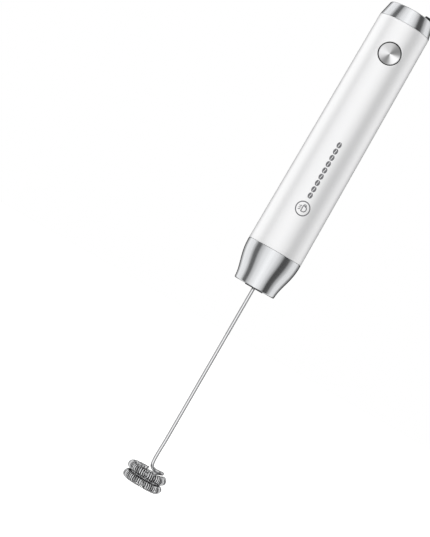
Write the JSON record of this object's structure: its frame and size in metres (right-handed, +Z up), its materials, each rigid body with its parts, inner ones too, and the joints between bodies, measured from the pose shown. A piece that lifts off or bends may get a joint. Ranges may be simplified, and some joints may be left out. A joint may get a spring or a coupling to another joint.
{
  "type": "milk frother",
  "caption": "Hand-held milk frother with a tapered white grip, steel cap and nose, a push button and a pull-off whisk with spring-wound rings.",
  "frame": {"origin": "on the grip's axis, at the middle of the white grip's length, where a hand holds it", "axes": "+Z up the axis from the whisk to the cap, -Y out of the button's face, +X to the right when the button faces the viewer"},
  "size_m": [0.027, 0.027, 0.2497],
  "materials": {
    "white_shell": "smooth glossy white, faint moulding ripple",
    "polished_steel": "polished and finely turned steel",
    "spun_steel": "spun, rings round its centre",
    "wire_steel": "drawn wire",
    "spring_steel": "fine wound spring wire",
    "black_collar": "satin moulded plastic",
    "black_silicone": "matt soft silicone",
    "inner_plastic": "moulded, unpolished",
    "black_nylon": "moulded, unpolished",
    "zinced_steel": "plated",
    "lamination": "stacked sheet edges",
    "ferrite": "ground",
    "bronze": "sintered, oiled",
    "carbon": "pressed carbon",
    "brass": "stamped sheet",
    "copper": "enamelled wire",
    "cell_wrap": "shrink wrap",
    "nickel": "thin strip",
    "foam": "closed-cell foam",
    "board_mask": "solder mask",
    "red_wire": "insulated wire",
    "black_wire": "insulated wire"
  },
  "bodies": {
    "handle": {"grip_tube": "white_shell", "top_cap": "polished_steel", "cap_insert": "inner_plastic", "cap_seal_ring": "black_silicone", "stopper_anchor": "black_silicone", "nose_cone": "polished_steel", "nose_liner": "inner_plastic", "nose_seal_ring": "black_silicone", "hub_seal": "black_silicone", "motor_can": "zinced_steel", "motor_end_bell": "black_nylon", "bearing_lower": "bronze", "bearing_upper": "bronze", "magnet_left": "ferrite", "magnet_right": "ferrite", "brush_left": "carbon", "brush_right": "carbon", "terminal_left": "brass", "terminal_right": "brass", "motor_screw_left": "zinced_steel", "motor_screw_right": "zinced_steel", "motor_mount": "black_nylon", "frame_front": "inner_plastic", "frame_rear": "inner_plastic", "battery_cell": "cell_wrap", "battery_tab_top": "nickel", "battery_tab_bottom": "nickel", "battery_pad": "foam", "main_board": "board_mask", "board_screw_left": "zinced_steel", "board_screw_right": "zinced_steel", "charge_chip": "black_nylon", "usb_shell": "zinced_steel", "usb_tongue": "black_nylon", "switch_body": "black_nylon", "motor_lead_red": "red_wire", "motor_lead_black": "black_wire", "battery_lead_black": "black_wire", "battery_lead_red": "red_wire"},
    "button": {"button_cap": "spun_steel", "button_stem": "black_nylon", "switch_plunger": "inner_plastic"},
    "drive": {"drive_socket": "black_nylon", "motor_shaft": "zinced_steel", "armature_core": "lamination", "winding_1": "copper", "winding_2": "copper", "winding_3": "copper", "commutator": "copper"},
    "whisk": {"whisk_collar": "black_collar", "whisk_shaft": "wire_steel", "whisk_spring": "spring_steel"},
    "stopper": {"port_stopper": "black_silicone"}
  },
  "joints": [
    {"name": "button_press", "type": "slide", "parent": "handle", "child": "button", "axis": [0, 1, 0], "range_m": [0, 0.0008], "stiffness_N_per_m": 1500},
    {"name": "whisk_spin", "type": "hinge", "parent": "handle", "child": "drive", "pos_m": [0, 0, -0.05], "axis": [0, 0, 1], "continuous": true},
    {"name": "whisk_pull", "type": "slide", "parent": "drive", "child": "whisk", "axis": [0, 0, -1], "range_m": [0, 0.03]},
    {"name": "stopper_lift", "type": "hinge", "parent": "handle", "child": "stopper", "pos_m": [-0.0072, 0, 0.06603], "axis": [0, -1, 0], "range_deg": [0, 110]}
  ]
}
